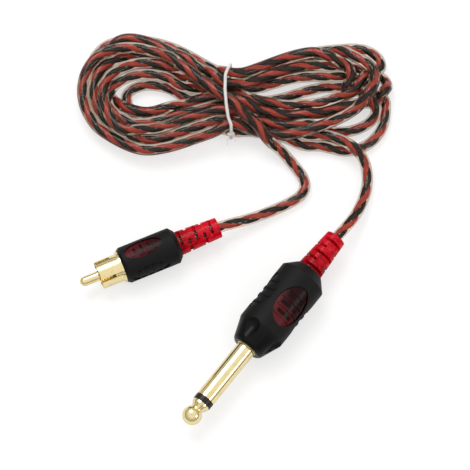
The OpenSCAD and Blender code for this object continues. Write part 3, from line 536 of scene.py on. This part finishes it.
def side_frames(line):
    """Two crossways directions at each point, carried along without twisting."""
    along = np.gradient(line, axis=0)
    along /= np.linalg.norm(along, axis=1)[:, None]
    side = np.cross(along[0], (0, 0, 1.0))
    sides = []
    for direction in along:
        side = side - direction * side.dot(direction)
        side = side / np.linalg.norm(side)
        sides.append(side)
    sides = np.array(sides)
    return sides, np.cross(along, sides)


def wound(line, radius, pitch, phase):
    """A right-handed helix round the line."""
    turns = phase + distances(line) / pitch
    return twisted_rings(line, np.array([[radius, 0.0]]), turns)[:, 0]


def pair_turns(line, pitch):
    """Turns of the pair along the line, as measured in both tails and even between them."""
    at = distances(line)
    jack = np.array(JACK_TWIST) + (0, FIRST_TURN)
    rca = np.array(RCA_TWIST) * (-1, 1) + (at[-1], 0)
    rca[:, 1] += round((rca[0, 0] - jack[-1, 0]) / pitch - rca[0, 1] + jack[-1, 1])
    known = np.vstack([jack, rca])
    return np.interp(at, known[:, 0], known[:, 1])


def twisted_rings(line, section, turns):
    """The section's points at each point of the line, turned right-handed along it."""
    turn = 2 * math.pi * turns
    side, up = side_frames(line)
    cos, sin = np.cos(turn)[:, None], np.sin(turn)[:, None]
    out, across = cos * side + sin * up, cos * up - sin * side
    return (line[:, None] + section[:, 0, None] * out[:, None]
            + section[:, 1, None] * across[:, None])


def half_round(radius, gap, corner):
    """The section of one lead of the pressed pair: a half circle with soft corners."""
    turn = math.acos((gap / 2 + corner) / (radius - corner))
    outer = [(radius * math.cos(a), radius * math.sin(a)) for a in np.linspace(-turn, turn, 9)]
    middle = (radius - corner) * math.sin(turn)
    upper = [(gap / 2 + corner + corner * math.cos(a), middle + corner * math.sin(a))
             for a in np.linspace(turn, math.pi, 4)[1:]]
    return np.array(outer + upper + [(x, -y) for x, y in reversed(upper)])


def hull(dots):
    """The corners of the tightest loop round the dots, in order."""
    dots = dots[np.lexsort((dots[:, 1], dots[:, 0]))]
    corners = []
    for run in (dots, dots[::-1]):
        edge = []
        for p in run:
            while len(edge) > 1:
                (a, b), (c, d) = edge[-1] - edge[-2], p - edge[-2]
                if a * d - b * c > 0:
                    break
                edge.pop()
            edge.append(p)
        corners += edge[:-1]
    return np.array(corners)


# ---------------------------------------------------------------- pieces

def lofted(name, rings, finish):
    """A closed skin over rings of points, with its ends capped."""
    count, sides = rings.shape[:2]
    base = np.arange(count - 1)[:, None] * sides
    k = np.arange(sides)
    faces = np.stack([base + k, base + sides + k, base + sides + (k + 1) % sides,
                      base + (k + 1) % sides], 2).reshape(-1, 4).tolist()
    last = (count - 1) * sides
    faces += [list(range(sides)), list(range(last + sides - 1, last - 1, -1))]
    mesh = bpy.data.meshes.new(name)
    mesh.from_pydata(rings.reshape(-1, 3).tolist(), [], faces)
    piece = bpy.data.objects.new(name, mesh)
    bpy.context.scene.collection.objects.link(piece)
    return tidied(piece, finish)


def tidied(piece, finish):
    """Merges doubled points, turns the faces outward, smooths, and sets the finish."""
    deselect_all()
    piece.select_set(True)
    bpy.context.view_layer.objects.active = piece
    bpy.ops.object.mode_set(mode="EDIT")
    bpy.ops.mesh.select_all(action="SELECT")
    bpy.ops.mesh.remove_doubles(threshold=0.000002)
    bpy.ops.mesh.normals_make_consistent(inside=False)
    bpy.ops.object.mode_set(mode="OBJECT")
    bpy.ops.object.shade_smooth_by_angle(angle=math.radians(50))
    piece.data.materials.clear()
    piece.data.materials.append(finish)
    return piece


def tube(name, line, width, sides, finish, closed=False):
    """A round tube along the line, made as a bevelled curve and turned into a mesh."""
    deselect_all()
    data = bpy.data.curves.new(name, "CURVE")
    data.dimensions = "3D"
    data.bevel_depth = width / 2
    data.bevel_resolution = max(0, sides // 2 - 2)
    data.use_fill_caps = True
    spline = data.splines.new("POLY")
    spline.points.add(len(line) - 1)
    spline.points.foreach_set("co", np.c_[line, np.ones(len(line))].ravel())
    spline.use_cyclic_u = closed
    spline.use_smooth = True
    piece = bpy.data.objects.new(name, data)
    bpy.context.scene.collection.objects.link(piece)
    piece.select_set(True)
    bpy.context.view_layer.objects.active = piece
    bpy.ops.object.convert(target="MESH")
    return tidied(bpy.context.object, finish)


def joined(name, parts):
    """The parts as one piece."""
    deselect_all()
    for part in parts:
        part.select_set(True)
    bpy.context.view_layer.objects.active = parts[0]
    bpy.ops.object.join()
    parts[0].name = name
    return parts[0]


# ---------------------------------------------------------------- operators

class CABLE_OT_stage(Operator):
    """Set the camera, the soft studio light and the pale floor"""

    bl_idname = "cable.stage"
    bl_label = "Set Stage"

    def execute(self, context):
        s = context.scene.cable_stage
        scene = context.scene
        scene.view_settings.view_transform = "Standard"
        deselect_all()
        target = Vector(AIM) * MM
        back = Vector((0, -math.cos(s.elevation), math.sin(s.elevation)))
        bpy.ops.object.camera_add(location=target + back * s.distance,
                                  rotation=(math.pi / 2 - s.elevation, 0, 0))
        camera = context.object
        camera.name = "camera"
        camera.data.sensor_width = SENSOR
        camera.data.lens = LENS
        camera.data.clip_start = 0.01
        scene.camera = camera

        for name, place, width, share, squash in LAMPS:
            self.lamp(name, place, target, width, s.key_power * share, squash)
        self.room(scene, s.sky)
        self.floor()
        return {"FINISHED"}

    def lamp(self, name, place, target, width, power, squash):
        bpy.ops.object.light_add(type="AREA", location=place)
        lamp = bpy.context.object
        lamp.name = name
        lamp.rotation_euler = (target - Vector(place)).to_track_quat("-Z", "Y").to_euler()
        lamp.data.shape = "RECTANGLE"
        lamp.data.size, lamp.data.size_y = width, width * squash
        lamp.data.energy = power

    def room(self, scene, strength):
        world = bpy.data.worlds.new("white_room")
        scene.world = world
        world.use_nodes = True
        nodes, links = world.node_tree.nodes, world.node_tree.links
        sky = nodes["Background"]
        coords = nodes.new("ShaderNodeTexCoord")
        height = nodes.new("ShaderNodeSeparateXYZ")
        shade = nodes.new("ShaderNodeValToRGB")
        ramp = shade.color_ramp
        for position, level in ROOM_BANDS:
            element = ramp.elements.new(position)
            element.color = (level, level * 0.98, level * 0.95, 1)
        ramp.elements.remove(ramp.elements[0])
        links.new(coords.outputs["Generated"], height.inputs[0])
        links.new(height.outputs["Z"], shade.inputs[0])
        links.new(shade.outputs[0], sky.inputs["Color"])
        sky.inputs["Strength"].default_value = strength

    def floor(self):
        deselect_all()
        bpy.ops.mesh.primitive_plane_add(size=6, location=(0, 0, -FLOOR_DROP))
        floor = bpy.context.object
        floor.name = "floor"
        bpy.ops.object.transform_apply(location=True, rotation=True, scale=True)
        f = Finish("white_table", Roughness=0.6, Specular_IOR_Level=0.15)
        f.bump(f.grain(f.place(), 900, 3.0), 0.02, 0.0001)
        f.use(Base_Color=(0.46, 0.46, 0.463))
        rays = f.nodes.new("ShaderNodeLightPath").outputs
        seen = f.calc("MAXIMUM", rays["Is Camera Ray"], rays["Is Transmission Ray"])
        mirrored = f.calc("MULTIPLY", rays["Is Glossy Ray"], MIRRORED_GLOW)
        seen = f.calc("MAXIMUM", seen, mirrored)
        f.use(Emission_Color=(1, 1, 1), Emission_Strength=f.calc("MULTIPLY", seen, FLOOR_GLOW))
        floor.data.materials.append(f.mat)


class CABLE_OT_cable(Operator):
    """Lay the clear jacket and its twisted red and black leads along the hank"""

    bl_idname = "cable.run"
    bl_label = "Lay Cable"

    def execute(self, context):
        s = context.scene.cable_run
        width = s.jacket_width / MM
        line = settle(np.array(ROUTE, float), width, s.settle_rounds)
        jack_in, rca_in = heading_vector(JACK_HEADING), heading_vector(RCA_HEADING)
        line[0], line[-1] = JACK_EXIT, RCA_EXIT
        line = even_steps(curve_through(line, 8), LINE_STEP)

        inside = np.linspace(1, 0, 28)[:-1, None]
        lead_line = np.vstack([
            np.array(JACK_EXIT) - jack_in * JACK_REACH * inside, line,
            np.array(RCA_EXIT) - rca_in * RCA_REACH * (1 - inside)])
        lead_line = even_steps(lead_line, s.twist_pitch / MM / RINGS_PER_TURN)
        section = half_round(s.pair_width / MM / 2, PAIR_GAP, LEAD_CORNER)
        turns = pair_turns(lead_line, s.twist_pitch / MM)
        leads = []
        for name, slot, colour, phase in (("cable_red_lead", "red_lead", s.red, 0.0),
                                          ("cable_black_lead", "black_lead", s.black, 0.5)):
            rings = twisted_rings(lead_line, section, turns + phase)
            piece = lofted(name, rings * MM, lead_finish(slot, tuple(colour)))
            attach(piece, "root")
            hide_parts("jack_tail", "cable_hank", "rca_tail")
            leads.append(piece)

        tucked = np.vstack([line[0] - jack_in * TUCK, line, line[-1] - rca_in * TUCK])
        jacket = tube("cable_jacket", tucked * MM, s.jacket_width, 16,
                      jacket_finish("clear_jacket"))
        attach(jacket, "root")
        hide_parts("jack_tail", "cable_hank", "rca_tail")
        print("cable length", round(float(distances(line)[-1]) * MM, 4))
        CABLE_OT_cable.laid = line, jacket, leads, tucked
        return {"FINISHED"}


class CABLE_OT_tie(Operator):
    """Wind the string round the middle of the hank and knot it"""

    bl_idname = "cable.tie"
    bl_label = "Tie Hank"

    def execute(self, context):
        s = context.scene.cable_tie
        string = s.string_width / MM
        line, jacket, leads, path = CABLE_OT_cable.laid
        ring = self.ring(line, context.scene.cable_run.jacket_width / MM / 2 + string / 2)
        finish = string_finish("white_string", tuple(s.colour))
        closed = np.vstack([ring, ring[:2]])
        fine = even_steps(closed, 0.22)
        whole = distances(closed[:-1])[-1]
        lay = whole / round(whole / STRING_LAY)
        plies = []
        for k in range(3):
            ply = wound(fine, string * 0.26, lay, k / 3)
            plies.append(tube(f"ply_{k}", ply * MM, s.string_width * 0.54, 8, finish))
        low = ring[ring[:, 1].argmin()]
        t = np.linspace(0, 2 * math.pi, 49)[:-1]
        trefoil = np.c_[np.sin(t) + 2 * np.sin(2 * t), -1.2 - np.sin(3 * t),
                        np.cos(t) - 2 * np.cos(2 * t)]
        knot = low + KNOT_SIZE * trefoil
        plies.append(tube("knot", knot * MM, s.string_width * 0.62, 8, finish, closed=True))
        for bend in (((0.5, -0.6, -0.3), (1.2, -1.6, -0.7), (1.5, -2.7, -1.0)),
                     ((-0.5, -0.7, -0.4), (-1.1, -2.0, -0.9), (-1.3, -3.6, -1.1))):
            end = curve_through(low + np.array(((0, -0.3, 0), *bend)), 6)
            end[:, 2] = np.maximum(end[:, 2], string * 0.35)
            plies.append(tube("end", end * MM, s.string_width * 0.5, 8, finish))
        tie = joined("hank_string", plies)
        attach(tie, "root")
        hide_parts("hank_tie")
        return {"FINISHED"}

    def ring(self, line, reach):
        """The string's middle line: the tightest loop round all the strands at the tie."""
        near = line[(abs(line[:, 0] - TIE_X) < 1.3) & (line[:, 1] > HANK_Y)]
        dots = np.vstack([near[:, 1:] + reach * np.array([math.cos(a), math.sin(a)])
                          for a in np.linspace(0, 2 * math.pi, 24, endpoint=False)])
        loop = hull(dots)
        loop = even_steps(np.vstack([loop, loop[:1]]), 0.5)[:-1]
        for _ in range(3):
            loop = (np.roll(loop, 1, 0) + 2 * loop + np.roll(loop, -1, 0)) / 4
        y, z = loop.T
        over, under = np.interp(y, *STRING_OVER), np.interp(y, *STRING_UNDER)
        high = np.clip((z - 2) / 4, 0, 1)
        return np.c_[under + (over - under) * high, y, z]


class CABLE_OT_plugs(Operator):
    """Give every part of both plugs its finish"""

    bl_idname = "cable.plugs"
    bl_label = "Finish Plugs"

    def execute(self, context):
        s = context.scene.cable_plugs
        gold, cover, mould = tuple(s.gold), tuple(s.cover), tuple(s.mould)
        run = context.scene.cable_run
        jack_gold = gold_finish("jack_gold", gold, JACK_HEADING)
        rca_gold = gold_finish("rca_gold", gold, RCA_HEADING)
        tin = tinned_finish("tinned_lug", (0.72, 0.72, 0.7), 0.3)
        solder = tinned_finish("solder_bead", (0.62, 0.63, 0.64), 0.36)
        copper = tinned_finish("copper_strands", (0.72, 0.41, 0.27), 0.34)
        fibre = moulded_finish("fibre_washer", (0.42, 0.24, 0.14), 0.7, 3000, 0.4)
        ring = moulded_finish("black_insulator", (0.02, 0.018, 0.016), 0.3, 2400, 0.05)
        ivory = moulded_finish("ivory_insulator", (0.86, 0.84, 0.76), 0.38, 2400, 0.08)
        # The covers' noses are darkened with painted shade up to the nose span.
        jack_shell = cover_finish("jack_cover", cover, JACK_HEADING, JACK_AT, nose=(5.2, 8.4))
        rca_shell = cover_finish("rca_cover", cover, RCA_HEADING, RCA_AT, nose=(0.2, 1.4))
        red_lead = lead_finish("inner_red_lead", tuple(run.red))
        black_lead = lead_finish("inner_black_lead", tuple(run.black))
        clear = jacket_finish("inner_jacket")
        finishes = {
            "jack_tip": jack_gold, "jack_sleeve": jack_gold, "jack_tip_insulator": ring,
            "jack_sleeve_lug": tin, "jack_tip_lug": tin, "jack_lug_washer": fibre,
            "jack_sleeve_solder": solder, "jack_tip_solder": solder,
            "jack_black_strands": copper, "jack_red_strands": copper,
            "jack_black_lead": black_lead, "jack_red_lead": red_lead,
            "jack_cable_end": clear, "jack_cover": jack_shell,
            # Window and bars painted with shade, sheen and glow; relief with painted darker and
            # pink patches.
            "jack_inner_mould": vinyl_finish(
                "jack_red_vinyl", mould, JACK_HEADING, JACK_AT, window=(11, 27), relief=32.5,
                bars=(17.8, 3.2, 3.8, 30)),
            "rca_pin": rca_gold, "rca_collar": rca_gold, "rca_insulator": ivory,
            "rca_ground_lug": tin, "rca_pin_solder": solder, "rca_ground_solder": solder,
            "rca_black_strands": copper, "rca_red_strands": copper,
            "rca_black_lead": black_lead, "rca_red_lead": red_lead,
            "rca_cable_end": clear, "rca_cover": rca_shell,
            # Window and bars painted with shade, sheen and glow; relief with painted darker and
            # pink patches.
            "rca_inner_mould": vinyl_finish(
                "rca_red_vinyl", mould, RCA_HEADING, RCA_AT, window=(-4, 20), relief=19.3,
                bars=(7.7, 2.5, 2.3, -13)),
        }
        for node, finish in finishes.items():
            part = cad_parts[node]
            part.data.materials.clear()
            part.data.materials.append(finish)
        return {"FINISHED"}


class CABLE_PT_panel(Panel):
    """The steps that dress the cable, in order"""

    bl_idname = "CABLE_PT_panel"
    bl_label = "Instrument Cable"
    bl_space_type = "VIEW_3D"
    bl_region_type = "UI"
    bl_category = "Cable"

    def draw(self, context):
        scene = context.scene
        for step, settings in ((CABLE_OT_stage, scene.cable_stage),
                               (CABLE_OT_cable, scene.cable_run),
                               (CABLE_OT_tie, scene.cable_tie),
                               (CABLE_OT_plugs, scene.cable_plugs)):
            box = self.layout.box()
            box.operator(step.bl_idname)
            for name in settings.__annotations__:
                box.prop(settings, name)


SETTINGS = {"cable_run": CableSettings, "cable_tie": TieSettings,
            "cable_plugs": PlugSettings, "cable_stage": StageSettings}
CLASSES = (*SETTINGS.values(), CABLE_OT_stage, CABLE_OT_cable, CABLE_OT_tie,
           CABLE_OT_plugs, CABLE_PT_panel)


def register():
    for cls in CLASSES:
        bpy.utils.register_class(cls)
    for name, group in SETTINGS.items():
        setattr(bpy.types.Scene, name, PointerProperty(type=group))


def unregister():
    for name in SETTINGS:
        delattr(bpy.types.Scene, name)
    for cls in reversed(CLASSES):
        bpy.utils.unregister_class(cls)


def main():
    register()
    bpy.ops.cable.stage()
    bpy.ops.cable.run()
    bpy.ops.cable.tie()
    bpy.ops.cable.plugs()


if __name__ == "__main__":
    main()
